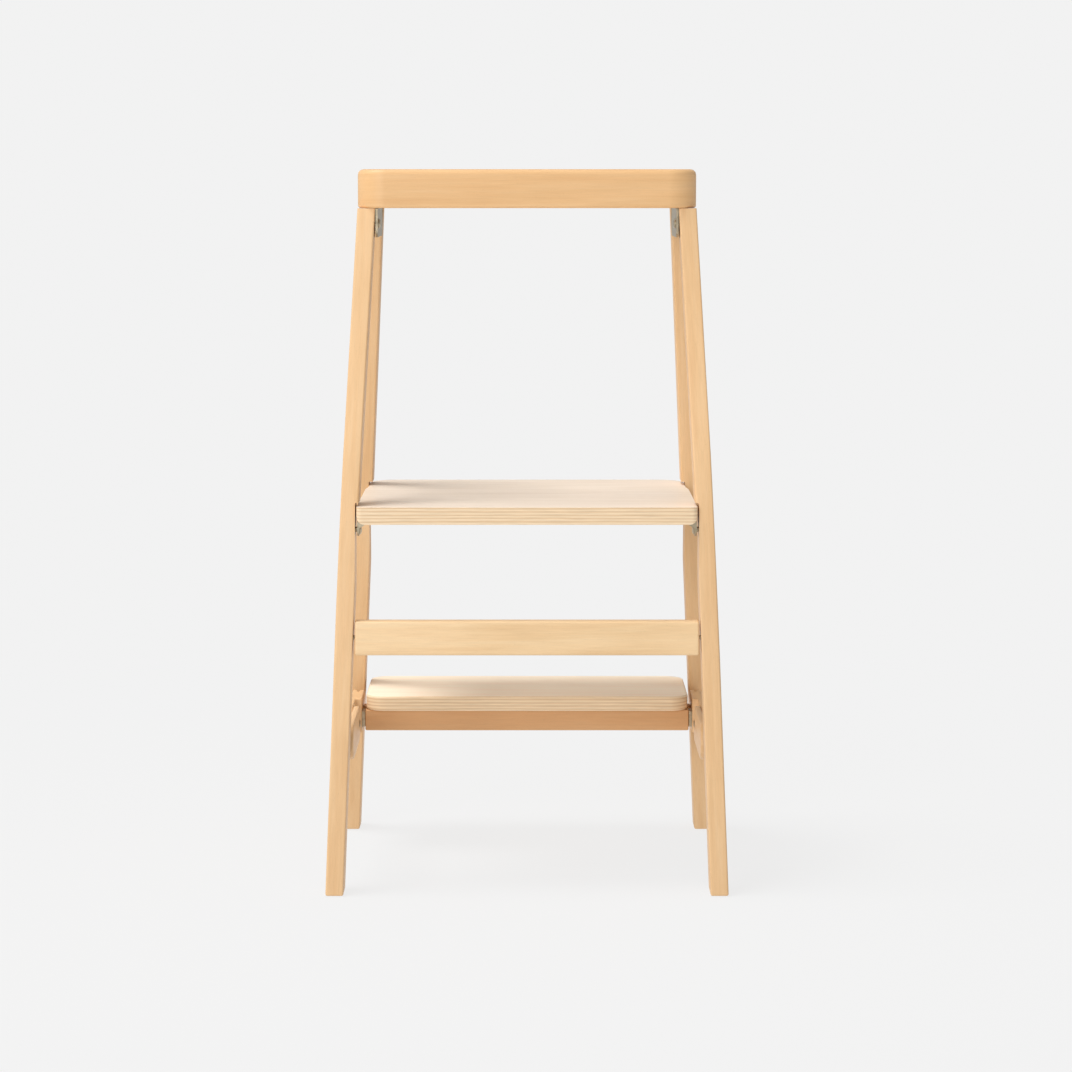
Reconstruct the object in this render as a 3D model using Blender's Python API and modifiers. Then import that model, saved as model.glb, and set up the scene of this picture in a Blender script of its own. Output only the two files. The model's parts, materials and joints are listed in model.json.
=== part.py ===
"""A folding two-step ladder in light hardwood: two leg frames, a bentwood hand hoop and plywood steps.

Metres, +Z up. X runs across the ladder, +Y points to the climbing side, and the origin is on the
floor under the middle of the footprint. Side-view places are pairs (depth, height), with the depth
measured forward from the back edge of the rear feet.
"""

import math

import bmesh
import bpy
from mathutils import Matrix, Vector

# Overall
DEPTH = 0.411
REAR_Y = -DEPTH / 2
GAP = 0.0003
SIDES = {"left": -1, "right": 1}

# Legs
LEG_THICK = 0.0200
LEG_DEPTH = 0.040
LEG_EDGE = 0.0020
LEG_TOP = 0.7571
RING_STEP = 0.055
REAR_LEAN = math.radians(7.8)
REAR_UPPER_LEAN = math.radians(15.5)
REAR_KNEE_HEIGHT = 0.44
REAR_BEND_RADIUS = 1.0
FRONT_LEAN = math.radians(-8.0)
FRONT_FOOT_DEPTH = 0.371
REAR_SPREAD = (0.2237, -0.0318, -0.0145)
FRONT_SPREAD = (0.2243, -0.0487, 0.0)

# Recess on the inside of each leg that the upper step swings through
RECESS_TOP = 0.4320
RECESS_BOTTOM = 0.12
REAR_RECESS_WALL = 0.1914
FRONT_RECESS_WALL = 0.1880
CHANNEL_START = 0.184

# Hand hoop
HOOP_HALF_WIDTH = 0.1918
HOOP_THICK = 0.0206
HOOP_BOTTOM = 0.7574
HOOP_TOP = 0.8010
HOOP_BACK = 0.140
HOOP_FRONT = 0.312
HOOP_CORNER = 0.032
HOOP_EDGE = 0.0064
HOOP_LOWER_SHARE = 0.4
DOWEL_PLACE = (0.1795, 0.2865)
DOWEL_RADIUS = 0.004
DOWEL_UP = 0.022
DOWEL_DOWN = 0.028

# Fold: the rear frame turns on the hinge, and everything else follows it at a constant ratio
HINGE = (0.166, 0.7400)
CLOSE_ANGLE = math.radians(15)
STEP_RATIO = -3.93
STEP_PIVOT = (0.066, 0.4020)
GUIDE_PIN = (0.3227, 0.4188)
GUIDE_PIN_RADIUS = 0.00275
GUIDE_PIN_REACH = 0.1955

# Hinge plates under the hoop
PLATE_INNER = 0.1686
PLATE_THICK = 0.0025
PLATE_BACK = 0.150
PLATE_FRONT = 0.280
PLATE_BOTTOM = 0.7244
PLATE_TOP = 0.7850
PLATE_CORNER = 0.007
PLATE_LOWER_CORNER = 0.020
PLATE_SCREW_DEPTHS = (0.190, 0.245)
PLATE_SCREW_HEIGHT = 0.7715

# Rear crossbar
CROSSBAR_HALF = 0.1916
CROSSBAR_HEIGHTS = (0.2640, 0.3016)
CROSSBAR_THICK = 0.018
CROSSBAR_SETBACK = 0.001

# Upper step
UPPER_TOP = 0.4280
UPPER_THICK = 0.0193
UPPER_HALF = 0.1896
UPPER_FRONT_HALF = 0.1872
UPPER_DEPTHS = (0.050, 0.380)
UPPER_TAPER = (0.260, 0.290)
UPPER_CORNER = 0.006
UPPER_FRONT_CORNER = 0.032
UPPER_BELLY = 0.009
BRACKET_SHEET = 0.0022
BRACKET_REACH = 0.1765
BRACKET_CHEEK = 0.1890
BRACKET_DEPTHS = (0.0585, 0.0915)
BRACKET_SCREW_X = 0.1813
BRACKET_SCREW_DEPTHS = (0.0770, 0.0865)

# Lower tray: a board on two beams between the front halves of the folding side stays
LOWER_TOP = 0.1837
LOWER_THICK = 0.0176
LOWER_HALF = 0.1903
LOWER_DEPTHS = (0.250, 0.409)
LOWER_CORNER = 0.022
BEAM_BOTTOM = 0.1412
BEAM_HALF = 0.1912
REAR_BEAM_DEPTHS = (0.2610, 0.2790)
FRONT_BEAM_DEPTHS = (0.2910, 0.3090)
BEAM_PLATE_HEIGHTS = (0.1456, 0.1641)
BEAM_SCREW_HEIGHT = 0.1541
STAY_HEIGHT = 0.159
STAY_HALF_HEIGHT = 0.0205
STAY_INNER = 0.1952
STAY_MIDDLE = 0.2022
STAY_OUTER = 0.2092
STAY_FRONT_PIVOT = (0.3243, STAY_HEIGHT)
STAY_REAR_PIVOT = (0.0866, STAY_HEIGHT)
STAY_BLOCK = 0.064
TONGUE_X = (0.2007, 0.2037)
TONGUE_HALF = 0.0075
FORK_REACH = 0.0105
FOOT_PLATE = 0.0025
FOOT_X = (0.1985, 0.2090)
FOOT_MARGIN = 0.0047
FOOT_SCREW_X = 0.2042
FOOT_SCREW_HEIGHT = 0.0128
BOARD_EDGE = 0.0025

ARC_STEPS = 8
ROUND_STEPS = 12

BEECH = ("beech", (0.80, 0.58, 0.36), 0.42, 0.0)
PLYWOOD = ("birch_plywood", (0.83, 0.66, 0.46), 0.45, 0.0)
STEEL = ("zinc_steel", (0.56, 0.54, 0.50), 0.38, 1.0)

parts = None
cutters = None


def start_scene():
    """Clears the scene and makes one collection for the parts and one for the cutters."""
    global parts, cutters
    for item in list(bpy.data.objects):
        bpy.data.objects.remove(item)
    parts = bpy.data.collections.new("step_ladder")
    cutters = bpy.data.collections.new("cutters")
    for group in (parts, cutters):
        bpy.context.scene.collection.children.link(group)


def material(name, colour, roughness, metallic):
    found = bpy.data.materials.get(name)
    if found:
        return found
    made = bpy.data.materials.new(name)
    made.use_nodes = True
    shader = made.node_tree.nodes["Principled BSDF"]
    shader.inputs["Base Color"].default_value = (*colour, 1.0)
    shader.inputs["Roughness"].default_value = roughness
    shader.inputs["Metallic"].default_value = metallic
    return made


def add_object(name, mesh, finish=None):
    """A mesh object in the parts, or among the cutters when it has no finish."""
    item = bpy.data.objects.new(name, mesh)
    if finish is None:
        cutters.objects.link(item)
        item.hide_render = True
        item.display_type = "WIRE"
    else:
        parts.objects.link(item)
        mesh.materials.append(material(*finish))
        mesh.shade_smooth()
        mesh.set_sharp_from_angle(angle=math.radians(35))
    return item


def mesh_from(builder, name):
    mesh = bpy.data.meshes.new(name)
    builder.to_mesh(mesh)
    builder.free()
    return mesh


def box(name, low, high, finish=None):
    """A box between two corners given in world coordinates."""
    low, high = Vector(map(min, low, high)), Vector(map(max, low, high))
    builder = bmesh.new()
    bmesh.ops.create_cube(builder, size=1.0)
    bmesh.ops.scale(builder, vec=high - low, verts=builder.verts)
    bmesh.ops.translate(builder, vec=(low + high) / 2, verts=builder.verts)
    return add_object(name, mesh_from(builder, name), finish)


def slab(name, outline, thickness, turn, finish=None):
    """A flat outline with thickness: a 2D curve in its own XY plane, which turn carries into the world."""
    curve = bpy.data.curves.new(name, "CURVE")
    curve.dimensions = "2D"
    curve.fill_mode = "BOTH"
    curve.extrude = thickness / 2
    spline = curve.splines.new("POLY")
    spline.points.add(len(outline) - 1)
    for point, (across, up) in zip(spline.points, outline):
        point.co = (across, up, 0.0, 1.0)
    spline.use_cyclic_u = True
    drawn = bpy.data.objects.new(name + "_outline", curve)
    bpy.context.scene.collection.objects.link(drawn)
    graph = bpy.context.evaluated_depsgraph_get()
    mesh = bpy.data.meshes.new_from_object(drawn.evaluated_get(graph))
    bpy.data.objects.remove(drawn)
    builder = bmesh.new()
    builder.from_mesh(mesh)
    bmesh.ops.remove_doubles(builder, verts=builder.verts, dist=1e-6)
    bmesh.ops.dissolve_limit(
        builder, angle_limit=math.radians(0.5), verts=builder.verts, edges=builder.edges
    )
    bmesh.ops.transform(builder, matrix=turn, verts=builder.verts)
    bmesh.ops.recalc_face_normals(builder, faces=builder.faces)
    return add_object(name, mesh_from(builder, name), finish)


def side_plane(x):
    """Carries an outline drawn as (depth, height) into the YZ plane at x."""
    turn = Matrix(((0, 0, 1, x), (1, 0, 0, REAR_Y), (0, 1, 0, 0), (0, 0, 0, 1)))
    return turn


def plan_plane(height):
    """Carries an outline drawn as (x, depth) into a horizontal plane."""
    return Matrix.Translation((0, REAR_Y, height))


def front_plane(depth):
    """Carries an outline drawn as (x, height) into the XZ plane at a depth."""
    return Matrix(((1, 0, 0, 0), (0, 0, -1, REAR_Y + depth), (0, 1, 0, 0), (0, 0, 0, 1)))


def arc(centre, radius, start, end, steps=ARC_STEPS):
    """Points of an arc, with the angles in degrees."""
    points = []
    for index in range(steps + 1):
        angle = math.radians(start + (end - start) * index / steps)
        points.append((centre[0] + radius * math.cos(angle), centre[1] + radius * math.sin(angle)))
    return points


def rounded_rectangle(low, high, radius, steps=ARC_STEPS):
    """A rectangle outline with four round corners, anticlockwise from the lower left one."""
    left, right = low[0] + radius, high[0] - radius
    bottom, top = low[1] + radius, high[1] - radius
    outline = []
    for centre, start in (
        ((left, bottom), 180),
        ((right, bottom), 270),
        ((right, top), 0),
        ((left, top), 90),
    ):
        outline += arc(centre, radius, start, start + 90, steps)
    return outline


def cut(target, cutter, operation="DIFFERENCE"):
    modifier = target.modifiers.new(cutter.name, "BOOLEAN")
    modifier.operation = operation
    modifier.object = cutter
    modifier.solver = "EXACT"


def round_edges(item, width, segments=2):
    modifier = item.modifiers.new("edges", "BEVEL")
    modifier.width = width
    modifier.segments = segments
    modifier.limit_method = "ANGLE"
    modifier.angle_limit = math.radians(40)


def turned(name, profile, base, direction, finish=None):
    """A turned piece: a profile of (radius, height) pairs from the top down, on an axis leaving base."""
    mesh = bpy.data.meshes.new(name)
    points = [(radius, 0.0, height) for radius, height in profile]
    mesh.from_pydata(points, [(i, i + 1) for i in range(len(points) - 1)], [])
    item = add_object(name, mesh, finish)
    item.location = base
    item.rotation_mode = "QUATERNION"
    item.rotation_quaternion = Vector((0, 0, 1)).rotation_difference(Vector(direction))
    modifier = item.modifiers.new("turn", "SCREW")
    modifier.steps = ROUND_STEPS
    modifier.render_steps = ROUND_STEPS
    modifier.use_merge_vertices = True
    modifier.merge_threshold = 0.00001
    modifier.use_smooth_shade = False
    return item


def pan_profile(head, head_height, shank, length):
    """A low domed head above height 0 and a plain shank below it."""
    return (
        (0.0, head_height),
        (head * 0.62, head_height),
        (head, head_height * 0.45),
        (head, 0.0),
        (shank, 0.0),
        (shank, -length + shank * 0.5),
        (shank * 0.5, -length),
        (0.0, -length),
    )


def countersunk_profile(head, shank, length):
    """A flat head flush with height 0, whose cone runs down to the shank."""
    return (
        (0.0, 0.0),
        (head, 0.0),
        (shank, shank - head),
        (shank, -length + shank),
        (shank * 0.4, -length),
        (0.0, -length),
    )


def plug_profile(radius, top, bottom):
    """A plain cylinder between two heights."""
    return ((0.0, top), (radius, top), (radius, bottom), (0.0, bottom))


def fastener(name, profile, hole, base, direction, through, finish=STEEL):
    """A turned fastener, and its hole cut in every piece it goes through."""
    item = turned(name, profile, base, direction, finish)
    if through:
        bore = turned(name + "_hole", hole, base, direction)
        for target in through:
            cut(target, bore)
    return item


def countersunk(name, base, direction, length, through, head=0.0034, shank=0.0016):
    """A countersunk screw whose flat head lies just under the surface at base."""
    profile = countersunk_profile(head, shank, length)
    clear = GAP * 1.2
    hole = (
        (0.0, 0.004),
        (head + clear, 0.004),
        (head + clear, -clear),
        (shank + clear, shank - head - clear),
        (shank + clear, -length - clear),
        (0.0, -length - clear),
    )
    sunk = Vector(base) - Vector(direction) * GAP
    return fastener(name, profile, hole, sunk, direction, through)


def pin(name, base, direction, length, through, head=0.0055, head_height=0.0022, shank=0.003):
    """A headed pin: the head rests on the surface at base and the shank goes in against direction."""
    profile = pan_profile(head, head_height, shank, length)
    hole = plug_profile(shank + GAP, head_height, -length - GAP)
    lifted = Vector(base) + Vector(direction) * GAP
    return fastener(name, profile, hole, lifted, direction, through)


def body(name, place=(0.0, None)):
    """An empty on a body's joint axis, which carries that body's pieces."""
    empty = bpy.data.objects.new(name, None)
    parts.objects.link(empty)
    depth, height = place
    if height is not None:
        empty.location = (0, REAR_Y + depth, height)
    return empty


def carry(empty, items):
    for item in items:
        item.parent = empty
        item.location = item.location - empty.location


def spread(terms, height):
    """Half the width over a leg's outer face at a height: a polynomial in the height."""
    return terms[0] + terms[1] * height + terms[2] * height**2


def straight_rings(foot_depth, lean, bottom, top):
    """Rings (depth, height, lean) of a straight leg whose back face meets the floor at foot_depth."""
    count = round((top - bottom) / RING_STEP)
    half = LEG_DEPTH / 2 / math.cos(lean)
    rings = []
    for index in range(count + 1):
        height = bottom + (top - bottom) * index / count
        rings.append((foot_depth + half + height * math.tan(lean), height, lean))
    return rings


def bent_rings(bottom, top):
    """Rings of the rear leg: a straight lower length, a gentle bend at the knee, a straight upper length."""
    turn = REAR_UPPER_LEAN - REAR_LEAN
    reach = REAR_BEND_RADIUS * math.tan(turn / 2)
    half = LEG_DEPTH / 2 / math.cos(REAR_LEAN)
    knee = (half + REAR_KNEE_HEIGHT * math.tan(REAR_LEAN), REAR_KNEE_HEIGHT)
    rings = straight_rings(0.0, REAR_LEAN, bottom, knee[1] - reach * math.cos(REAR_LEAN))
    start = rings[-1]
    centre_depth = start[0] + REAR_BEND_RADIUS * math.cos(REAR_LEAN)
    centre_height = start[1] - REAR_BEND_RADIUS * math.sin(REAR_LEAN)
    bend_steps = 5
    for index in range(1, bend_steps + 1):
        lean = REAR_LEAN + turn * index / bend_steps
        depth = centre_depth - REAR_BEND_RADIUS * math.cos(lean)
        height = centre_height + REAR_BEND_RADIUS * math.sin(lean)
        rings.append((depth, height, lean))
    depth, height, lean = rings[-1]
    count = round((top - height) / RING_STEP)
    for index in range(1, count + 1):
        up = (top - height) * index / count
        rings.append((depth + up * math.tan(lean), height + up, lean))
    return rings


def trim(builder, point, normal):
    """Cuts off everything beyond a plane and closes the cut."""
    everything = builder.verts[:] + builder.edges[:] + builder.faces[:]
    bmesh.ops.bisect_plane(
        builder, geom=everything, plane_co=point, plane_no=normal, clear_outer=True
    )
    bmesh.ops.holes_fill(builder, edges=[edge for edge in builder.edges if edge.is_boundary])


def leg(name, rings, terms, side):
    """A leg: a bar of rectangular section along its rings, splayed sideways, cut level at both ends."""
    builder = bmesh.new()
    bmesh.ops.create_cube(builder, size=1.0)
    upright = [e for e in builder.edges if abs(e.verts[0].co.z - e.verts[1].co.z) > 0.5]
    bmesh.ops.subdivide_edges(builder, edges=upright, cuts=len(rings) - 2, use_grid_fill=True)
    for vertex in builder.verts:
        depth, height, lean = rings[round((vertex.co.z + 0.5) * (len(rings) - 1))]
        depth += vertex.co.y * LEG_DEPTH * math.cos(lean)
        height -= vertex.co.y * LEG_DEPTH * math.sin(lean)
        middle = side * (spread(terms, height) - LEG_THICK / 2)
        vertex.co = (middle + vertex.co.x * LEG_THICK, REAR_Y + depth, height)
    trim(builder, (0, 0, 0), (0, 0, -1))
    item = add_object(name, mesh_from(builder, name), BEECH)
    round_edges(item, LEG_EDGE)
    above = box(name + "_top", (side * 0.10, -0.3, LEG_TOP), (side * 0.30, 0.3, LEG_TOP + 0.06))
    cut(item, above)
    return item


def leg_recess(target, wall, side):
    """Cuts the inside of a leg back to an upright wall below the shoulder at the upper step."""
    low = (side * (wall - 0.030), REAR_Y - 0.02, RECESS_BOTTOM)
    high = (side * wall, -REAR_Y + 0.02, RECESS_TOP)
    cut(target, box(target.name + "_recess", low, high))


def turn_about(point, centre, angle):
    """A side-view point turned about a centre, by the right-hand rule about +X."""
    across, up = point[0] - centre[0], point[1] - centre[1]
    cosine, sine = math.cos(angle), math.sin(angle)
    return (
        centre[0] + across * cosine - up * sine,
        centre[1] + across * sine + up * cosine,
    )


def guide_path(steps=12):
    """The way of the upper step's guide pin down the front leg, from open to folded."""
    points = []
    for index in range(steps + 1):
        close = CLOSE_ANGLE * index / steps
        pivot = turn_about(STEP_PIVOT, HINGE, close)
        carried = (
            pivot[0] + GUIDE_PIN[0] - STEP_PIVOT[0],
            pivot[1] + GUIDE_PIN[1] - STEP_PIVOT[1],
        )
        points.append(turn_about(carried, pivot, close * (1 + STEP_RATIO)))
    return points


def channel(path, half_width):
    """The outline swept by a round pin along a path."""
    left, right = [], []
    for index, (depth, height) in enumerate(path):
        before = path[max(index - 1, 0)]
        after = path[min(index + 1, len(path) - 1)]
        along = Vector((after[0] - before[0], after[1] - before[1])).normalized()
        left.append((depth - along.y * half_width, height + along.x * half_width))
        right.append((depth + along.y * half_width, height - along.x * half_width))
    first, last = path[0], path[-1]
    back = math.degrees(math.atan2(first[1] - path[1][1], first[0] - path[1][0]))
    onward = math.degrees(math.atan2(last[1] - path[-2][1], last[0] - path[-2][0]))
    start_cap = arc(first, half_width, back - 90, back + 90)
    end_cap = arc(last, half_width, onward - 90, onward + 90)
    return start_cap + right[1:-1] + end_cap + left[-2:0:-1]


def make_front_frame():
    """The front legs, with the step's recess and guide channel, and the hoop dowelled on top of them."""
    hoop = make_hoop()
    items = {"hoop": hoop}
    pieces = [hoop]
    for word, side in SIDES.items():
        rings = straight_rings(FRONT_FOOT_DEPTH, FRONT_LEAN, -0.02, LEG_TOP + 0.02)
        front = leg("front_leg_" + word, rings, FRONT_SPREAD, side)
        leg_recess(front, FRONT_RECESS_WALL, side)
        outline = channel(guide_path(), GUIDE_PIN_RADIUS + 0.0008)
        depth = GUIDE_PIN_REACH + 0.0007 - CHANNEL_START
        middle = side * (CHANNEL_START + depth / 2)
        cut(front, slab(front.name + "_channel", outline, depth, side_plane(middle)))
        dowel_place = (side * DOWEL_PLACE[0], REAR_Y + DOWEL_PLACE[1], HOOP_BOTTOM)
        dowel = fastener(
            "hoop_dowel_" + word,
            plug_profile(DOWEL_RADIUS, DOWEL_UP, -DOWEL_DOWN),
            plug_profile(DOWEL_RADIUS + GAP, DOWEL_UP + GAP, -DOWEL_DOWN - GAP),
            dowel_place,
            (0, 0, 1),
            (hoop, front),
            BEECH,
        )
        items["leg_" + word] = front
        pieces += [front, dowel]
    return items, pieces


def make_hoop():
    """A U-shaped rail seen from above, bent round the back of the ladder, with soft edges."""
    half, inner = HOOP_HALF_WIDTH, HOOP_HALF_WIDTH - HOOP_THICK
    turn = half - HOOP_CORNER
    centre_depth = HOOP_BACK + HOOP_CORNER
    small = HOOP_CORNER - HOOP_THICK
    outline = [(-half, HOOP_FRONT)]
    outline += arc((-turn, centre_depth), HOOP_CORNER, 180, 270, 12)
    outline += arc((turn, centre_depth), HOOP_CORNER, 270, 360, 12)
    outline += [(half, HOOP_FRONT), (inner, HOOP_FRONT)]
    outline += arc((turn, centre_depth), small, 360, 270, 8)
    outline += arc((-turn, centre_depth), small, 270, 180, 8)
    outline += [(-inner, HOOP_FRONT)]
    middle = (HOOP_BOTTOM + HOOP_TOP) / 2
    hoop = slab("handle_hoop", outline, HOOP_TOP - HOOP_BOTTOM, plan_plane(middle), BEECH)
    weights = hoop.data.attributes.new("bevel_weight_edge", "FLOAT", "EDGE")
    for edge, weight in zip(hoop.data.edges, weights.data):
        ends = [hoop.data.vertices[index].co for index in edge.vertices]
        upper = [end.z > middle for end in ends]
        if all(upper):
            weight.value = 1.0
        elif not any(upper) or all(end.y > REAR_Y + HOOP_FRONT - GAP for end in ends):
            weight.value = HOOP_LOWER_SHARE
    round_edges(hoop, HOOP_EDGE, 3)
    hoop.modifiers["edges"].limit_method = "WEIGHT"
    return hoop


def hinge_plate_outline():
    """A long flange below the hoop and a shorter one that stands up inside its arm."""
    corner = PLATE_CORNER
    shoulder = HOOP_BOTTOM - 2 * GAP
    inside = HOOP_BACK + HOOP_CORNER + 0.0015
    outline = arc((PLATE_BACK + corner, PLATE_BOTTOM + corner), corner, 180, 270, 4)
    large = PLATE_LOWER_CORNER
    outline += arc((PLATE_FRONT - large, PLATE_BOTTOM + large), large, 270, 360, 6)
    outline += arc((PLATE_FRONT - corner, PLATE_TOP - corner), corner, 0, 90, 4)
    outline += arc((inside + corner, PLATE_TOP - corner), corner, 90, 180, 4)
    outline += [(inside, shoulder), (PLATE_BACK, shoulder)]
    return outline


def make_hinge_plates(front_items, rear_legs):
    """Steel plates let into the front legs and screwed inside the hoop, which carry the rear frame's pins."""
    fixed, turning = [], []
    outline = hinge_plate_outline()
    for word, side in SIDES.items():
        middle = side * (PLATE_INNER + PLATE_THICK / 2)
        plate = slab("hinge_plate_" + word, outline, PLATE_THICK, side_plane(middle), STEEL)
        low = (side * 0.15, REAR_Y + 0.245, PLATE_BOTTOM - GAP)
        high = (side * (PLATE_INNER + PLATE_THICK + GAP), REAR_Y + PLATE_FRONT + GAP, LEG_TOP + 0.01)
        cut(front_items["leg_" + word], box(plate.name + "_slot", low, high))
        inward = (-side, 0, 0)
        for index, depth in enumerate(PLATE_SCREW_DEPTHS):
            place = (side * PLATE_INNER, REAR_Y + depth, PLATE_SCREW_HEIGHT)
            name = f"hinge_plate_screw_{word}_{index + 1}"
            fixed.append(countersunk(name, place, inward, 0.016, (plate, front_items["hoop"])))
        place = (side * PLATE_INNER, REAR_Y + HINGE[0], HINGE[1])
        hinge_pin = pin("hinge_pin_" + word, place, inward, 0.018, (plate, rear_legs[word]))
        fixed.append(plate)
        turning.append(hinge_pin)
    return fixed, turning


def make_rear_legs():
    """The rear legs, bent at the knee, with a top that turns clear of the hoop."""
    rise = LEG_TOP - HINGE[1]
    slope = math.tan(CLOSE_ANGLE)
    start = (HINGE[0] + rise * math.tan(CLOSE_ANGLE / 2), LEG_TOP)
    reach = 0.05
    above = (start, (start[0] + reach, LEG_TOP - reach * slope), (start[0] + reach, LEG_TOP + reach))
    legs = {}
    for word, side in SIDES.items():
        rings = bent_rings(-0.02, LEG_TOP + 0.02)
        legs[word] = leg("rear_leg_" + word, rings, REAR_SPREAD, side)
        cut(legs[word], slab(f"rear_leg_{word}_relief", above, 0.06, side_plane(side * 0.18)))
        leg_recess(legs[word], REAR_RECESS_WALL, side)
    return legs


def make_crossbar(rear_legs):
    """The bar between the rear legs, set parallel to their back faces."""
    low, high = CROSSBAR_HEIGHTS
    slope = math.tan(REAR_LEAN)
    back = CROSSBAR_SETBACK
    front = back + CROSSBAR_THICK / math.cos(REAR_LEAN)
    outline = (
        (back + low * slope, low),
        (front + low * slope, low),
        (front + high * slope, high),
        (back + high * slope, high),
    )
    bar = slab("rear_crossbar", outline, 2 * CROSSBAR_HALF, side_plane(0), BEECH)
    round_edges(bar, BOARD_EDGE, 3)
    pieces = [bar]
    height = (low + high) / 2
    depth = (back + front) / 2 + height * slope
    for word, side in SIDES.items():
        place = (side * spread(REAR_SPREAD, height), REAR_Y + depth, height)
        through = (rear_legs[word], bar)
        name = "crossbar_screw_" + word
        pieces.append(countersunk(name, place, (side, 0, 0), 0.050, through, 0.0045, 0.0024))
    return pieces


def make_upper_board():
    """The upper step: plywood, narrowed a little where it lies between the front legs."""
    back, front = UPPER_DEPTHS
    half, narrow = UPPER_HALF, UPPER_FRONT_HALF
    corner = UPPER_CORNER
    outline = arc((-half + corner, back + corner), corner, 180, 270, 4)
    outline += arc((half - corner, back + corner), corner, 270, 360, 4)
    outline += [(half, UPPER_TAPER[0]), (narrow, UPPER_TAPER[1])]
    large = UPPER_FRONT_CORNER
    outline += arc((narrow - large, front - large), large, 0, 90)
    outline += arc((-narrow + large, front - large), large, 90, 180)
    outline += [(-narrow, UPPER_TAPER[1]), (-half, UPPER_TAPER[0])]
    middle = UPPER_TOP - UPPER_THICK / 2
    board = slab("upper_step_board", outline, UPPER_THICK, plan_plane(middle), PLYWOOD)
    above, bottom, belly = UPPER_TOP + 0.01, UPPER_TOP - UPPER_THICK, UPPER_BELLY
    section = [(half, above), (-half, above)]
    section += arc((-half + belly, bottom + belly), belly, 180, 270, 4)
    section += arc((half - belly, bottom + belly), belly, 270, 360, 4)
    cut(board, slab("upper_step_section", section, 2 * DEPTH, front_plane(DEPTH / 2)), "INTERSECT")
    round_edges(board, BOARD_EDGE, 3)
    return board


def make_step_bracket(word, side, board):
    """A sheet steel bracket: a leaf let into the board, a cheek down to the pivot, and a gusset."""
    bottom = UPPER_TOP - UPPER_THICK
    top = bottom + BRACKET_SHEET
    cheek_outer = BRACKET_CHEEK
    cheek_inner = cheek_outer - BRACKET_SHEET
    back, front = BRACKET_DEPTHS
    pocket_low = (side * (BRACKET_REACH - GAP), REAR_Y + back - GAP, bottom - 0.002)
    pocket_high = (side * (UPPER_HALF + 0.01), REAR_Y + front + GAP, top + GAP)
    cut(board, box("step_bracket_pocket_" + word, pocket_low, pocket_high))
    low = (side * BRACKET_REACH, REAR_Y + back, top - BRACKET_SHEET)
    high = (side * cheek_outer, REAR_Y + front, top)
    bracket = box("step_bracket_" + word, low, high, STEEL)
    radius = STEP_PIVOT[0] - back
    cheek = arc(STEP_PIVOT, radius, 180, 360)
    cheek += [(front, top - 0.001), (back, top - 0.001)]
    middle = side * (cheek_inner + cheek_outer) / 2
    cut(bracket, slab(bracket.name + "_cheek", cheek, BRACKET_SHEET, side_plane(middle)), "UNION")
    gusset = (
        (side * BRACKET_REACH, top - 0.001),
        (side * (cheek_inner + 0.001), top - 0.001),
        (side * (cheek_inner + 0.001), STEP_PIVOT[1] + 0.001),
    )
    web = slab(bracket.name + "_gusset", gusset, BRACKET_SHEET, front_plane(back + BRACKET_SHEET / 2))
    cut(bracket, web, "UNION")
    return bracket, side * cheek_inner


def make_upper_step(rear_legs):
    """The upper step with its brackets, pivots and guide pins."""
    board = make_upper_board()
    bottom = UPPER_TOP - UPPER_THICK
    pieces = [board]
    for word, side in SIDES.items():
        bracket, cheek = make_step_bracket(word, side, board)
        pieces.append(bracket)
        for index, depth in enumerate(BRACKET_SCREW_DEPTHS):
            place = (side * BRACKET_SCREW_X, REAR_Y + depth, bottom)
            name = f"step_bracket_screw_{word}_{index + 1}"
            through = (bracket, board)
            pieces.append(countersunk(name, place, (0, 0, -1), 0.013, through, 0.0030, 0.0014))
        place = (cheek, REAR_Y + STEP_PIVOT[0], STEP_PIVOT[1])
        through = (bracket, rear_legs[word])
        pieces.append(pin("step_pivot_pin_" + word, place, (-side, 0, 0), 0.0170, through))
        guide = fastener(
            "step_guide_pin_" + word,
            plug_profile(GUIDE_PIN_RADIUS, GUIDE_PIN_REACH - UPPER_FRONT_HALF, -0.022),
            plug_profile(GUIDE_PIN_RADIUS + GAP, 0.008, -0.022 - GAP),
            (side * UPPER_FRONT_HALF, REAR_Y + GUIDE_PIN[0], GUIDE_PIN[1]),
            (side, 0, 0),
            (board,),
        )
        pieces.append(guide)
    return pieces


def stay_half(name, pivot, end, lap, word, side):
    """Half of a folding side stay: forked at its pivot, and cut back along the lap of the other half."""
    middle = side * (STAY_INNER + STAY_OUTER) / 2
    forward = 1 if pivot[0] > end[0] else -1
    start_angle = -90 if forward > 0 else 90
    outline = arc(pivot, STAY_HALF_HEIGHT, start_angle, start_angle + 180)
    outline += arc(end, STAY_HALF_HEIGHT, start_angle + 180, start_angle + 360)
    half = slab(f"{name}_{word}", outline, STAY_OUTER - STAY_INNER, side_plane(middle), BEECH)
    step = REAR_Y + pivot[0] - forward * STAY_BLOCK
    beyond = REAR_Y + end[0] - forward * 0.03
    cut(half, box(half.name + "_lap", (side * lap[0], step, 0.10), (side * lap[1], beyond, 0.22)))
    round_edges(half, 0.0012, 1)
    fork_low = (side * (TONGUE_X[0] - GAP), REAR_Y + pivot[0] - forward * FORK_REACH, 0.10)
    fork_high = (side * (TONGUE_X[1] + GAP), REAR_Y + pivot[0] + forward * 0.03, 0.22)
    cut(half, box(half.name + "_fork", fork_low, fork_high))
    return half


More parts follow.
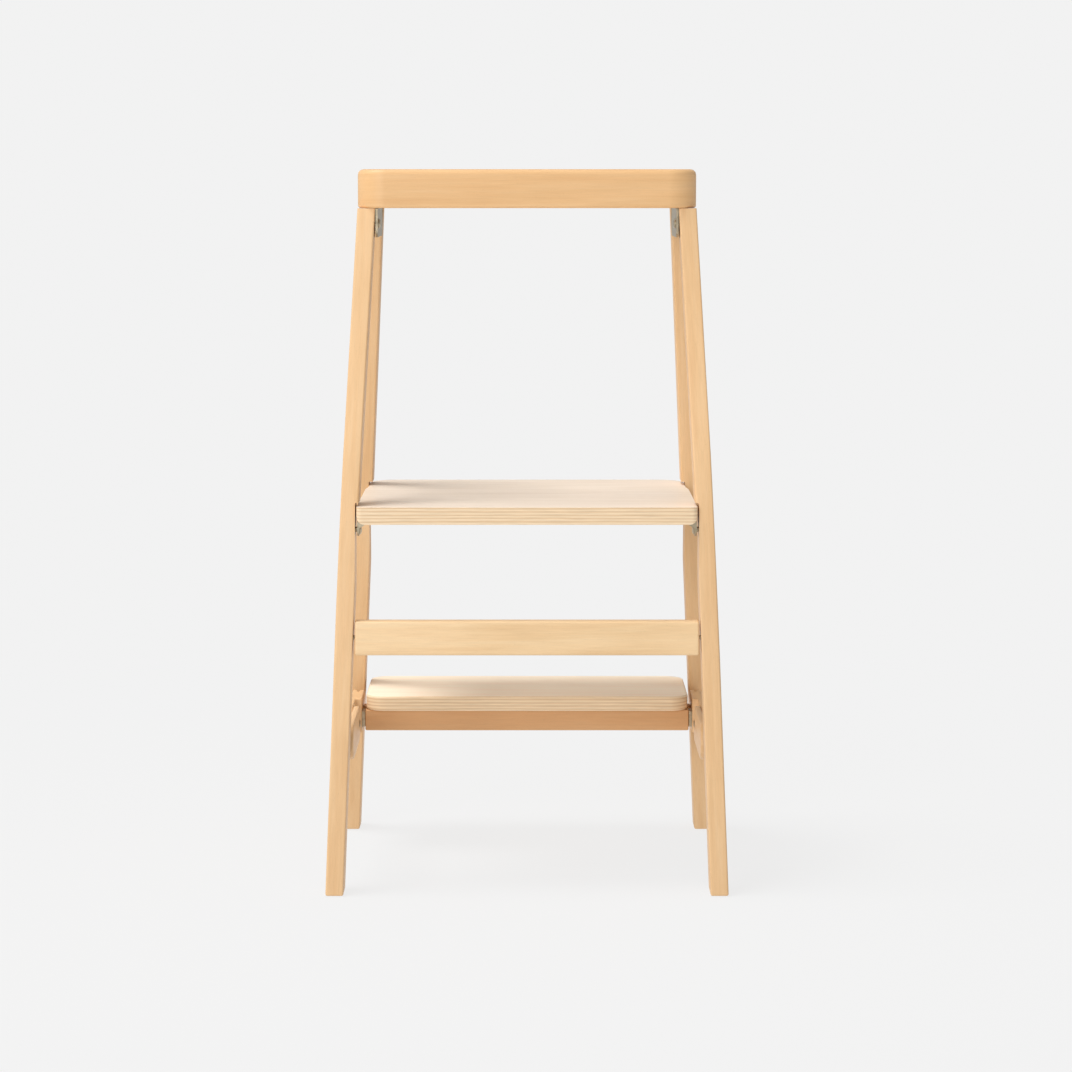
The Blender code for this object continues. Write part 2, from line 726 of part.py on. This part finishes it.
def stay_bracket(name, pivot, face_distance, lean, forward, word, side, leg_item, screw_heights):
    """A steel tee on a leg's face: a foot plate with a tongue that enters the stay's fork."""
    middle = side * (TONGUE_X[0] + TONGUE_X[1]) / 2
    centre = Vector((middle, REAR_Y + pivot[0], pivot[1]))
    tilt = Matrix.Translation(centre) @ Matrix.Rotation(-lean, 4, "X")
    foot_near = forward * (face_distance - FOOT_PLATE)
    foot_far = forward * (face_distance - GAP)
    plate_top = max(max(screw_heights), FOOT_MARGIN) + FOOT_MARGIN
    low = (side * FOOT_X[0] - middle, foot_near, min(screw_heights) - FOOT_MARGIN)
    high = (side * FOOT_X[1] - middle, foot_far, plate_top)
    bracket = box(f"{name}_{word}", low, high, STEEL)
    bracket.data.transform(tilt)
    tongue = arc((0, 0), TONGUE_HALF, 90 * forward, 90 * forward + 180)
    reach = foot_near + forward * 0.001
    tongue += [(reach, -forward * TONGUE_HALF), (reach, forward * TONGUE_HALF)]
    flat = Matrix(((0, 0, 1, 0), (1, 0, 0, 0), (0, 1, 0, 0), (0, 0, 0, 1)))
    thickness = TONGUE_X[1] - TONGUE_X[0]
    blade = slab(bracket.name + "_tongue", tongue, thickness, tilt @ flat)
    cut(bracket, blade, "UNION")
    pieces = [bracket]
    outward = (tilt.to_3x3() @ Vector((0, -forward, 0))).normalized()
    for index, height in enumerate(screw_heights):
        place = tilt @ Vector((side * FOOT_SCREW_X - middle, foot_near, height))
        screw = f"{name}_screw_{word}_{index + 1}"
        pieces.append(countersunk(screw, place, outward, 0.018, (bracket, leg_item), 0.0030, 0.0014))
    return pieces


def face_distance(pivot, foot_depth, lean):
    """The distance from a stay's pivot to the leg face that it folds from."""
    return abs(foot_depth + pivot[1] * math.tan(lean) - pivot[0]) * math.cos(lean)


def make_stays(front_legs, rear_legs):
    """Both folding side stays with their brackets, rivets and bolts, sorted by the body that carries them."""
    groups = {"front_frame": [], "rear_frame": [], "lower_tray": [], "stays": {}}
    middle = ((STAY_FRONT_PIVOT[0] + STAY_REAR_PIVOT[0]) / 2, STAY_HEIGHT)
    outer_lap = (STAY_MIDDLE - GAP, STAY_OUTER + 0.01)
    inner_lap = (STAY_INNER - 0.01, STAY_MIDDLE + GAP)
    layer = STAY_MIDDLE - STAY_INNER - 2 * GAP
    front_gap = face_distance(STAY_FRONT_PIVOT, FRONT_FOOT_DEPTH, FRONT_LEAN)
    rear_face = LEG_DEPTH / math.cos(REAR_LEAN)
    rear_gap = face_distance(STAY_REAR_PIVOT, rear_face, REAR_LEAN)
    for word, side in SIDES.items():
        front = stay_half("front_stay", STAY_FRONT_PIVOT, middle, inner_lap, word, side)
        rear = stay_half("rear_stay", STAY_REAR_PIVOT, middle, outer_lap, word, side)
        front_bracket = stay_bracket(
            "front_stay_bracket",
            STAY_FRONT_PIVOT,
            front_gap,
            FRONT_LEAN,
            1,
            word,
            side,
            front_legs[word],
            (-FOOT_SCREW_HEIGHT,),
        )
        rear_bracket = stay_bracket(
            "rear_stay_bracket",
            STAY_REAR_PIVOT,
            rear_gap,
            REAR_LEAN,
            -1,
            word,
            side,
            rear_legs[word],
            (-FOOT_SCREW_HEIGHT, FOOT_SCREW_HEIGHT),
        )
        rivets = []
        for label, pivot, half, tee in (
            ("front", STAY_FRONT_PIVOT, front, front_bracket[0]),
            ("rear", STAY_REAR_PIVOT, rear, rear_bracket[0]),
        ):
            place = (side * STAY_OUTER, REAR_Y + pivot[0], pivot[1])
            name = f"{label}_stay_rivet_{word}"
            rivets.append(pin(name, place, (side, 0, 0), 0.0115, (half, tee), 0.0042, 0.0011, 0.0022))
        place = (side * STAY_INNER, REAR_Y + middle[0], middle[1])
        bolt = pin("stay_bolt_" + word, place, (-side, 0, 0), layer, (rear,), 0.0045, 0.0009)
        place = (side * STAY_OUTER, REAR_Y + middle[0], middle[1])
        nut = pin("stay_nut_" + word, place, (side, 0, 0), layer, (front,), 0.0058, 0.0016)
        groups["front_frame"] += front_bracket
        groups["rear_frame"] += rear_bracket
        groups["lower_tray"] += [front, rivets[0], nut]
        groups["stays"][word] = [rear, rivets[1], bolt]
    return groups


def make_lower_tray(front_stays):
    """The lower step: a plywood board on two beams, with the rear beam screwed between the stays."""
    low, high = (-LOWER_HALF, LOWER_DEPTHS[0]), (LOWER_HALF, LOWER_DEPTHS[1])
    outline = rounded_rectangle(low, high, LOWER_CORNER)
    middle = LOWER_TOP - LOWER_THICK / 2
    board = slab("lower_step_board", outline, LOWER_THICK, plan_plane(middle), PLYWOOD)
    round_edges(board, BOARD_EDGE, 3)
    beam_top = LOWER_TOP - LOWER_THICK - GAP
    pieces = [board]
    for label, depths, end in (
        ("rear", REAR_BEAM_DEPTHS, BEAM_HALF),
        ("front", FRONT_BEAM_DEPTHS, STAY_INNER - GAP),
    ):
        beam_low = (-end, REAR_Y + depths[0], BEAM_BOTTOM)
        beam_high = (end, REAR_Y + depths[1], beam_top)
        beam = box(label + "_beam", beam_low, beam_high, BEECH)
        round_edges(beam, 0.0015)
        pieces.append(beam)
    rear_beam = pieces[1]
    back, front = REAR_BEAM_DEPTHS
    for word, side in SIDES.items():
        plate_low = (side * (BEAM_HALF + GAP), REAR_Y + back + 0.001, BEAM_PLATE_HEIGHTS[0])
        plate_high = (side * (STAY_INNER - GAP), REAR_Y + front + 0.004, BEAM_PLATE_HEIGHTS[1])
        plate = box("beam_plate_" + word, plate_low, plate_high, STEEL)
        place = (side * STAY_OUTER, REAR_Y + (back + front) / 2, BEAM_SCREW_HEIGHT)
        through = (front_stays[word], plate, rear_beam)
        screw = countersunk("beam_screw_" + word, place, (side, 0, 0), 0.044, through, 0.0038, 0.0019)
        pieces += [plate, screw]
    return pieces


def main():
    start_scene()
    frame_items, frame_pieces = make_front_frame()
    front_legs = {word: frame_items["leg_" + word] for word in SIDES}
    rear_legs = make_rear_legs()
    plate_pieces, hinge_pins = make_hinge_plates(frame_items, rear_legs)
    crossbar_pieces = make_crossbar(rear_legs)
    upper_pieces = make_upper_step(rear_legs)
    stays = make_stays(front_legs, rear_legs)
    front_stays = {word: bpy.data.objects["front_stay_" + word] for word in SIDES}
    tray_pieces = make_lower_tray(front_stays)

    carry(body("front_frame"), frame_pieces + plate_pieces + stays["front_frame"])
    rear_pieces = list(rear_legs.values()) + hinge_pins + crossbar_pieces + stays["rear_frame"]
    carry(body("rear_frame", HINGE), rear_pieces)
    carry(body("upper_step", STEP_PIVOT), upper_pieces)
    carry(body("lower_tray", STAY_FRONT_PIVOT), tray_pieces + stays["lower_tray"])
    for word in SIDES:
        carry(body("rear_stay_body_" + word, STAY_REAR_PIVOT), stays["stays"][word])


main()
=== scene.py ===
"""Looks for the folding step ladder: lacquered beech frames, plywood steps and zinc steel fittings."""

import json
import math

import bmesh
import bpy
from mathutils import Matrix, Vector


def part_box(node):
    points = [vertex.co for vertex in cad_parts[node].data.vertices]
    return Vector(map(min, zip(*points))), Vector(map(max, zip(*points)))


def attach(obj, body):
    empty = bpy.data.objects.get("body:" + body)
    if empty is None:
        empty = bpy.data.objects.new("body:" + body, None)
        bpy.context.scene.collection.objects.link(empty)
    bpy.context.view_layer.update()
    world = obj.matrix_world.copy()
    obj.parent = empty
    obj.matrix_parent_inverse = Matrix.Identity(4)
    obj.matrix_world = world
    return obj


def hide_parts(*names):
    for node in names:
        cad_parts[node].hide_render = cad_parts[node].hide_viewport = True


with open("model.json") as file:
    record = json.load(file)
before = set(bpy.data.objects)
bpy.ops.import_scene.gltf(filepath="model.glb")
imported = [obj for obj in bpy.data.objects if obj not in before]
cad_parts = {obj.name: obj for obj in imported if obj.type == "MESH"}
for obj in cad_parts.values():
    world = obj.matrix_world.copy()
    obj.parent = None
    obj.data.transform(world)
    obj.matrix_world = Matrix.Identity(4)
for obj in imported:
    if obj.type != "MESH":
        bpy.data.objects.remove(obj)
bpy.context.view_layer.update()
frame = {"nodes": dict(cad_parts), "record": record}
nodes = frame["nodes"]
record = frame["record"]
body_of_node = {name: body for body, names in record["behaviour"]["bodies"].items() for name in names}
slot_of_node = {item["node"]: item["material_slot"] for item in record["subparts"]}

# View
CAMERA_PLACE = (0.0, -3.7625, 0.800)
CAMERA_PITCH = math.radians(6.386)
SENSOR_MM = 36.0
LENS_MM = 109.8
FRAME_SHIFT = 0.0084
VIEW_REACH = 60.0

# Light
SKY_STRENGTH = 0.56
SKY_SIDES = (1.00, 0.70)
SKY_TURN = 0.9
KEY_STRENGTH = 2.0
KEY_FROM = (-0.36, -0.04, 1.0)
KEY_SOFTNESS = math.radians(26)
SIDE_STRENGTH = 50.0
SIDE_SIZE = 1.8
SIDE_PLACE = (-1.5, -3.1, 1.5)
SIDE_AIM = (0.0, 0.0, 0.45)

# Studio
BACKDROP_GREY = 0.887
BOWL_RADIUS = 14.0
FLOOR_RADIUS = 9.0
FLOOR_DROP = 0.0006
FLOOR_GLOW = 0.78
FLOOR_ALBEDO = 0.085
FLOOR_MELT = (0.45, 1.6)

# Wood
BEECH_TONES = ((0.805, 0.520, 0.272), (0.765, 0.474, 0.238), (0.832, 0.562, 0.314))
BIRCH_TONES = ((0.880, 0.745, 0.610), (0.842, 0.704, 0.566), (0.909, 0.780, 0.651))
PLY_TONES = ((0.895, 0.695, 0.470), (0.770, 0.540, 0.325), (0.850, 0.640, 0.410))
PLY_PERIOD = 0.0038
PLY_WAVER = 0.0030
DRIFT_DARK = (0.94, 0.925, 0.90)
DRIFT_LIGHT = (1.03, 1.035, 1.05)
DRIFT_SHARE = 0.8
WHITE = (1.0, 1.0, 1.0)
STREAK_SCALE = (7.0, 160.0, 120.0)
DRIFT_SCALE = (4.0, 20.0, 20.0)
DRIFT_SHIFT = (3.0, 1.0, 2.0)
PORE_SCALE = (42.0, 1500.0, 900.0)
PORE_SHADES = (0.955, 1.015)
FLECK_SCALE = (330.0, 2300.0, 2300.0)
FLECK_SHIFT = (5.0, 0.0, 9.0)
FLECK_SHADES = (1.0, 0.90)
FLECK_RELIEF = 0.4
PLY_WAVER_SCALE = (5.0, 5.0, 120.0)
PLY_STREAK_SCALE = (30.0, 30.0, 1100.0)
PLY_STREAK_SHADES = (0.86, 1.06)
COAT_WEIGHT = 0.10
COAT_ROUGHNESS = 0.30
LACQUER_IOR = 1.38
LACQUER_ROUGHNESS = (0.42, 0.54)
BEECH_RELIEF = 0.06
BIRCH_RELIEF = 0.05
WOOD_RELIEF_DEPTH = 0.0003
# Tones of single pieces, the beams darker than the rest; the lower step board's entry is painted light.
PIECE_TONES_AND_PAINTED_LIGHT = {
    "handle_hoop": (1.00, 0.945, 0.86),
    "rear_crossbar": (1.04, 1.14, 1.24),
    "rear_beam": (0.83, 0.72, 0.64),
    "front_beam": (0.83, 0.72, 0.64),
    # Painted light: the lower step board is coloured lighter to make up for the upper step's shadow on
    # it.
    "lower_step_board": (1.22, 1.21, 1.14),
}
# Painted shade: a leg's colour darkens from its top down to this share at the foot.
LEG_FOOT_PAINTED_SHADE = 0.94
LEG_TOP = 0.757

# Zinc
ZINC_DARK = (0.36, 0.30, 0.20)
ZINC_LIGHT = (0.60, 0.52, 0.38)
ZINC_CLOUD_SCALE = 160.0
ZINC_RUB_SCALE = (900.0, 900.0, 90.0)
ZINC_ROUGHNESS = (0.26, 0.46)
ZINC_RELIEF = 0.05
ZINC_RELIEF_DEPTH = 0.0002

# Pieces
HOOP_THICK = 0.0206
HOOP_TURN = 0.032
LEG_SLICES = 14
SLICE_POINTS = 8
WELD_REACH = 2e-5
FLAT_ANGLE = math.radians(0.6)
SHARP_ANGLE = math.radians(50)
EDGE_FACE_SLOPE = 0.80
GRAIN_STEP = 0.37
GRAIN_STEP_RIGHT = 0.71


# --------------------------------------------------------------------- helpers


def mesh_from(builder, name):
    mesh = bpy.data.meshes.new(name)
    builder.to_mesh(mesh)
    builder.free()
    return mesh


def add_object(name, data):
    item = bpy.data.objects.new(name, data)
    bpy.context.scene.collection.objects.link(item)
    return item


def new_material(name):
    made = bpy.data.materials.new(name)
    made.use_nodes = True
    tree = made.node_tree
    return made, tree, tree.nodes["Principled BSDF"]


def node(tree, kind, **settings):
    made = tree.nodes.new(kind)
    for key, value in settings.items():
        setattr(made, key, value)
    return made


def link(tree, source, target):
    tree.links.new(source, target)


def math_node(tree, operation, first, second=None):
    made = node(tree, "ShaderNodeMath", operation=operation)
    for socket, value in zip(made.inputs, (first, second)):
        if value is None:
            continue
        if isinstance(value, (int, float)):
            socket.default_value = value
        else:
            link(tree, value, socket)
    return made.outputs[0]


def scaled(tree, vector, factors, shift=(0.0, 0.0, 0.0)):
    made = node(tree, "ShaderNodeMapping")
    made.inputs["Scale"].default_value = factors
    made.inputs["Location"].default_value = shift
    link(tree, vector, made.inputs["Vector"])
    return made.outputs["Vector"]


def noise(tree, vector, detail, roughness=0.5, distortion=0.0, scale=1.0):
    made = node(tree, "ShaderNodeTexNoise")
    made.inputs["Scale"].default_value = scale
    made.inputs["Detail"].default_value = detail
    made.inputs["Roughness"].default_value = roughness
    made.inputs["Distortion"].default_value = distortion
    link(tree, vector, made.inputs["Vector"])
    return made.outputs["Fac"]


def ramp(tree, factor, stops):
    """A colour ramp; each stop is (position, colour)."""
    made = node(tree, "ShaderNodeValToRGB")
    elements = made.color_ramp.elements
    while len(elements) < len(stops):
        elements.new(0.5)
    for element, (position, colour) in zip(elements, stops):
        element.position = position
        element.color = (*colour, 1.0)
    link(tree, factor, made.inputs["Fac"])
    return made.outputs["Color"]


def spread_range(tree, value, low, high, to_low=0.0, to_high=1.0):
    made = node(tree, "ShaderNodeMapRange", interpolation_type="SMOOTHSTEP")
    for socket, number in zip(made.inputs[1:5], (low, high, to_low, to_high)):
        socket.default_value = number
    link(tree, value, made.inputs[0])
    return made.outputs[0]


def mixed(tree, blend, factor, first, second):
    made = node(tree, "ShaderNodeMix", data_type="RGBA", blend_type=blend)
    for socket, value in ((made.inputs[0], factor), (made.inputs[6], first), (made.inputs[7], second)):
        if isinstance(value, (int, float)):
            socket.default_value = value
        elif isinstance(value, tuple):
            socket.default_value = (*value, 1.0)
        else:
            link(tree, value, socket)
    return made.outputs[2]


def bump(tree, height, strength, distance):
    made = node(tree, "ShaderNodeBump")
    made.inputs["Strength"].default_value = strength
    made.inputs["Distance"].default_value = distance
    link(tree, height, made.inputs["Height"])
    return made.outputs["Normal"]


def grain_coordinates(tree):
    """The piece's grain coordinates in metres: along the grain, across it and through it."""
    return node(tree, "ShaderNodeAttribute", attribute_name="grain").outputs["Vector"]


# ------------------------------------------------------------------- materials


def lacquer(tree, shader, pores, relief, strength):
    """A thin satin lacquer, a little uneven in gloss over the pores, which also show as relief."""
    shader.inputs["Coat Weight"].default_value = COAT_WEIGHT
    shader.inputs["Coat Roughness"].default_value = COAT_ROUGHNESS
    shader.inputs["IOR"].default_value = LACQUER_IOR
    roughness = spread_range(tree, pores, 0.2, 0.8, *LACQUER_ROUGHNESS)
    link(tree, roughness, shader.inputs["Roughness"])
    link(tree, bump(tree, relief, strength, WOOD_RELIEF_DEPTH), shader.inputs["Normal"])


def wood_colour(tree, grain, tones):
    """Soft streaks along the grain, slow drifts of tone, fine pores and short dark flecks."""
    base, dark, light = tones
    streaks = noise(tree, scaled(tree, grain, STREAK_SCALE), 4.0, 0.55, 0.3)
    drift = noise(tree, scaled(tree, grain, DRIFT_SCALE, DRIFT_SHIFT), 3.0, 0.5, 1.2)
    pores = noise(tree, scaled(tree, grain, PORE_SCALE), 3.0, 0.7)
    flecks = noise(tree, scaled(tree, grain, FLECK_SCALE, FLECK_SHIFT), 1.0, 0.4)
    colour = ramp(tree, streaks, ((0.26, dark), (0.50, base), (0.76, light)))
    drifted = ramp(tree, drift, ((0.30, DRIFT_DARK), (0.52, WHITE), (0.75, DRIFT_LIGHT)))
    colour = mixed(tree, "MULTIPLY", DRIFT_SHARE, colour, drifted)
    lines = spread_range(tree, pores, 0.30, 0.66, *PORE_SHADES)
    colour = mixed(tree, "MULTIPLY", 1.0, colour, lines)
    spots = spread_range(tree, flecks, 0.68, 0.76, *FLECK_SHADES)
    colour = mixed(tree, "MULTIPLY", 1.0, colour, spots)
    # The piece's tone, which carries painted shade on the legs and painted light on the lower step
    # board.
    tone_and_painted_light = node(tree, "ShaderNodeAttribute", attribute_name="tone_and_painted_light").outputs["Vector"]
    return mixed(tree, "MULTIPLY", 1.0, colour, tone_and_painted_light), pores, flecks


def beech_material():
    """Steamed beech under clear lacquer."""
    made, tree, shader = new_material("beech")
    grain = grain_coordinates(tree)
    colour, pores, flecks = wood_colour(tree, grain, BEECH_TONES)
    link(tree, colour, shader.inputs["Base Color"])
    fleck_relief = math_node(tree, "MULTIPLY", flecks, FLECK_RELIEF)
    lacquer(tree, shader, pores, math_node(tree, "ADD", pores, fleck_relief), BEECH_RELIEF)
    return made


def plywood_material():
    """Birch plywood: veneered faces, and edges where dark and light plies alternate."""
    made, tree, shader = new_material("birch_plywood")
    grain = grain_coordinates(tree)
    face, pores, _ = wood_colour(tree, grain, BIRCH_TONES)
    parts = node(tree, "ShaderNodeSeparateXYZ")
    link(tree, grain, parts.inputs[0])
    waver = noise(tree, scaled(tree, grain, PLY_WAVER_SCALE), 2.0)
    shift = math_node(tree, "MULTIPLY", waver, PLY_WAVER)
    height = math_node(tree, "ADD", parts.outputs["Z"], shift)
    wave = math_node(tree, "SINE", math_node(tree, "MULTIPLY", height, 2 * math.pi / PLY_PERIOD))
    light, dark, middle = PLY_TONES
    stops = ((0.05, dark), (0.30, middle), (0.75, light))
    plies = ramp(tree, spread_range(tree, wave, -1.0, 1.0), stops)
    streak = noise(tree, scaled(tree, grain, PLY_STREAK_SCALE), 3.0, 0.6)
    shades = spread_range(tree, streak, 0.25, 0.75, *PLY_STREAK_SHADES)
    edge = mixed(tree, "MULTIPLY", 1.0, plies, shades)
    facing = node(tree, "ShaderNodeAttribute", attribute_name="edge_face").outputs["Fac"]
    link(tree, mixed(tree, "MIX", facing, face, edge), shader.inputs["Base Color"])
    lacquer(tree, shader, pores, pores, BIRCH_RELIEF)
    return made


def steel_material():
    """Zinc plate, slightly cloudy and rubbed."""
    made, tree, shader = new_material("zinc_steel")
    place = node(tree, "ShaderNodeTexCoord").outputs["Object"]
    cloud = noise(tree, place, 4.0, 0.6, scale=ZINC_CLOUD_SCALE)
    rub = noise(tree, scaled(tree, place, ZINC_RUB_SCALE), 2.0, 0.6)
    colour = ramp(tree, cloud, ((0.3, ZINC_DARK), (0.7, ZINC_LIGHT)))
    link(tree, colour, shader.inputs["Base Color"])
    shader.inputs["Metallic"].default_value = 1.0
    link(tree, spread_range(tree, rub, 0.2, 0.8, *ZINC_ROUGHNESS), shader.inputs["Roughness"])
    link(tree, bump(tree, rub, ZINC_RELIEF, ZINC_RELIEF_DEPTH), shader.inputs["Normal"])
    return made


def backdrop_glow(tree):
    made = node(tree, "ShaderNodeEmission")
    made.inputs["Color"].default_value = (BACKDROP_GREY, BACKDROP_GREY, BACKDROP_GREY, 1.0)
    return made.outputs[0]


def backdrop_material():
    """A backdrop that gives its own even light."""
    made, tree, shader = new_material("backdrop")
    tree.nodes.remove(shader)
    link(tree, backdrop_glow(tree), tree.nodes["Material Output"].inputs["Surface"])
    return made


def floor_material():
    """A pale floor that takes soft shadows near the object and melts into the backdrop further out."""
    made, tree, shader = new_material("floor")
    shader.inputs["Base Color"].default_value = (FLOOR_ALBEDO, FLOOR_ALBEDO, FLOOR_ALBEDO, 1.0)
    shader.inputs["Roughness"].default_value = 0.9
    shader.inputs["Specular IOR Level"].default_value = 0.1
    shader.inputs["Emission Color"].default_value = (*WHITE, 1.0)
    shader.inputs["Emission Strength"].default_value = FLOOR_GLOW
    place = node(tree, "ShaderNodeTexCoord").outputs["Object"]
    length = node(tree, "ShaderNodeVectorMath", operation="LENGTH")
    link(tree, place, length.inputs[0])
    blend = node(tree, "ShaderNodeMixShader")
    link(tree, spread_range(tree, length.outputs["Value"], *FLOOR_MELT), blend.inputs[0])
    link(tree, shader.outputs[0], blend.inputs[1])
    link(tree, backdrop_glow(tree), blend.inputs[2])
    link(tree, blend.outputs[0], tree.nodes["Material Output"].inputs["Surface"])
    return made


# --------------------------------------------------------------- grain of parts


def leg_grain(name):
    """Grain that runs up a leg, measured from the middle of its section at each height."""
    low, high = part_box(name)
    tall = high[2] - low[2]
    slices = [[] for _ in range(LEG_SLICES + 1)]
    for vertex in nodes[name].data.vertices:
        share = (vertex.co.z - low[2]) / tall
        slices[round(share * LEG_SLICES)].append(vertex.co)
    heights, across, depths = [], [], []
    for index, points in enumerate(slices):
        if len(points) < SLICE_POINTS:
            continue
        heights.append(low[2] + tall * index / LEG_SLICES)
        across.append((min(p.x for p in points) + max(p.x for p in points)) / 2)
        depths.append((min(p.y for p in points) + max(p.y for p in points)) / 2)

    def middle(values, height):
        for index in range(len(heights) - 1):
            if height <= heights[index + 1]:
                break
        span = heights[index + 1] - heights[index]
        share = (height - heights[index]) / span
        return values[index] + (values[index + 1] - values[index]) * share

    def grain(point):
        return (point.z, point.y - middle(depths, point.z), point.x - middle(across, point.z))

    return grain


def hoop_grain(point):
    """Grain that follows the hoop round its bent corners, measured from the middle of its back."""
    low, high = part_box("handle_hoop")
    half = high[0] - HOOP_TURN
    centre_y = low[1] + HOOP_TURN
    side = 1 if point.x >= 0 else -1
    reach = abs(point.x) - half
    mean = HOOP_TURN - HOOP_THICK / 2
    if point.y > centre_y:
        along = half + mean * math.pi / 2 + point.y - centre_y
        out = abs(point.x) - (high[0] - HOOP_THICK / 2)
    elif reach < 0:
        along = abs(point.x)
        out = low[1] + HOOP_THICK / 2 - point.y
    else:
        angle = math.atan2(reach, centre_y - point.y)
        along = half + mean * angle
        out = math.hypot(reach, centre_y - point.y) - mean
    return (side * along, point.z, out)


def straight_grain(point):
    """Grain along X."""
    return (point.x, point.y, point.z)


def stay_grain(point):
    """Grain along Y, for the side stays."""
    return (point.y, point.z, point.x)


def grain_of(name):
    if "_leg_" in name:
        return leg_grain(name)
    if name == "handle_hoop":
        return hoop_grain
    if name.startswith(("front_stay_", "rear_stay_")):
        return stay_grain
    return straight_grain


# ------------------------------------------------------------------ fine pieces


def flatten_normals(mesh):
    """Corner normals led by the large faces, so that flat faces stay flat beside their rounded edges."""
    around = [[] for _ in mesh.vertices]
    for face in mesh.polygons:
        for index in face.vertices:
            around[index].append(face)
    limit = math.cos(SHARP_ANGLE)
    normals = []
    for face in mesh.polygons:
        for index in face.vertices:
            total = Vector((0.0, 0.0, 0.0))
            for other in around[index]:
                if other.normal.dot(face.normal) > limit:
                    total += other.normal * other.area
            normals.append(total.normalized())
    mesh.normals_split_custom_set(normals)


def fine_mesh(name):
    """A welded copy of a CAD node's mesh, with its flat faces whole and its rounds smooth."""
    builder = bmesh.new()
    builder.from_mesh(nodes[name].data)
    bmesh.ops.remove_doubles(builder, verts=builder.verts, dist=WELD_REACH)
    bmesh.ops.dissolve_limit(
        builder, angle_limit=FLAT_ANGLE, verts=builder.verts, edges=builder.edges
    )
    large = [face for face in builder.faces if len(face.verts) > 4]
    bmesh.ops.triangulate(builder, faces=large)
    mesh = mesh_from(builder, name + "_fine")
    mesh.shade_smooth()
    mesh.set_sharp_from_angle(angle=SHARP_ANGLE)
    flatten_normals(mesh)
    return mesh


def tone_and_painted_light_at(name, point):
    """Each piece's tone from the table, painted light included; a leg gets painted shade, darker towards
    the floor.
    """
    if "_leg_" in name:
        return (LEG_FOOT_PAINTED_SHADE + (1.0 - LEG_FOOT_PAINTED_SHADE) * point.z / LEG_TOP,) * 3
    return PIECE_TONES_AND_PAINTED_LIGHT.get(name, WHITE)


def add_attributes(mesh, name):
    """What the materials read: grain coordinates, a tone that carries painted light and shade, and which
    faces are a board's edges.
    """
    offset = len(name) * GRAIN_STEP + (GRAIN_STEP_RIGHT if name.endswith("right") else 0.0)
    grain = grain_of(name)
    grains = mesh.attributes.new("grain", "FLOAT_VECTOR", "POINT")
    for vertex, item in zip(mesh.vertices, grains.data):
        along, across, through = grain(vertex.co)
        item.vector = (along + offset, across + offset, through)
    tones_and_painted_light = mesh.attributes.new("tone_and_painted_light", "FLOAT_VECTOR", "POINT")
    for vertex, item in zip(mesh.vertices, tones_and_painted_light.data):
        item.vector = tone_and_painted_light_at(name, vertex.co)
    edges = mesh.attributes.new("edge_face", "FLOAT", "CORNER")
    for face in mesh.polygons:
        for corner in face.loop_indices:
            edges.data[corner].value = float(abs(face.normal.z) < EDGE_FACE_SLOPE)


def dress_everything():
    """A fine piece in place of every CAD node."""
    finishes = {
        "beech": beech_material(),
        "birch_plywood": plywood_material(),
        "zinc_steel": steel_material(),
    }
    for name in sorted(nodes):
        mesh = fine_mesh(name)
        add_attributes(mesh, name)
        mesh.materials.append(finishes[slot_of_node[name]])
        piece = add_object(name + "_fine", mesh)
        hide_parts(name)
        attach(piece, body_of_node[name])


# ----------------------------------------------------------------------- studio


def disc_and_bowl():
    """The floor disc, and a wide bowl round it that only the camera sees."""
    builder = bmesh.new()
    bmesh.ops.create_circle(builder, cap_ends=True, segments=96, radius=FLOOR_RADIUS)
    mesh = mesh_from(builder, "floor")
    mesh.materials.append(floor_material())
    floor = add_object("floor", mesh)
    floor.location.z = -FLOOR_DROP
    builder = bmesh.new()
    bmesh.ops.create_uvsphere(builder, u_segments=64, v_segments=32, radius=BOWL_RADIUS)
    mesh = mesh_from(builder, "bowl")
    mesh.materials.append(backdrop_material())
    bowl = add_object("bowl", mesh)
    for ray in ("visible_diffuse", "visible_glossy", "visible_transmission", "visible_shadow"):
        setattr(bowl, ray, False)


def sky():
    """Even white light from all round, stronger from the left than from the right."""
    world = bpy.data.worlds.new("studio")
    world.use_nodes = True
    bpy.context.scene.world = world
    tree = world.node_tree
    direction = node(tree, "ShaderNodeTexCoord").outputs["Generated"]
    parts = node(tree, "ShaderNodeSeparateXYZ")
    link(tree, direction, parts.inputs[0])
    sideways = spread_range(tree, parts.outputs["X"], -SKY_TURN, SKY_TURN, *SKY_SIDES)
    background = tree.nodes["Background"]
    link(tree, sideways, background.inputs["Color"])
    background.inputs["Strength"].default_value = SKY_STRENGTH


def lights():
    """A soft key from above, and a broad soft light from the left of the camera."""
    key = bpy.data.lights.new("key", "SUN")
    key.energy = KEY_STRENGTH
    key.angle = KEY_SOFTNESS
    item = add_object("key", key)
    item.rotation_mode = "QUATERNION"
    item.rotation_quaternion = Vector(KEY_FROM).to_track_quat("Z", "Y")
    side = bpy.data.lights.new("side", "AREA")
    side.energy = SIDE_STRENGTH
    side.size = SIDE_SIZE
    item = add_object("side", side)
    item.location = SIDE_PLACE
    item.rotation_mode = "QUATERNION"
    item.rotation_quaternion = (Vector(SIDE_AIM) - item.location).to_track_quat("-Z", "Y")


def camera():
    """The photograph's view: level with the hoop, pitched down a little, straight from behind."""
    data = bpy.data.cameras.new("camera")
    data.sensor_width = SENSOR_MM
    data.lens = LENS_MM
    data.shift_x = FRAME_SHIFT
    data.clip_end = VIEW_REACH
    item = add_object("camera", data)
    item.location = CAMERA_PLACE
    item.rotation_euler = (math.pi / 2 - CAMERA_PITCH, 0.0, 0.0)
    bpy.context.scene.camera = item


camera()
sky()
lights()
disc_and_bowl()
bpy.context.scene.view_settings.view_transform = "Standard"
dress_everything()
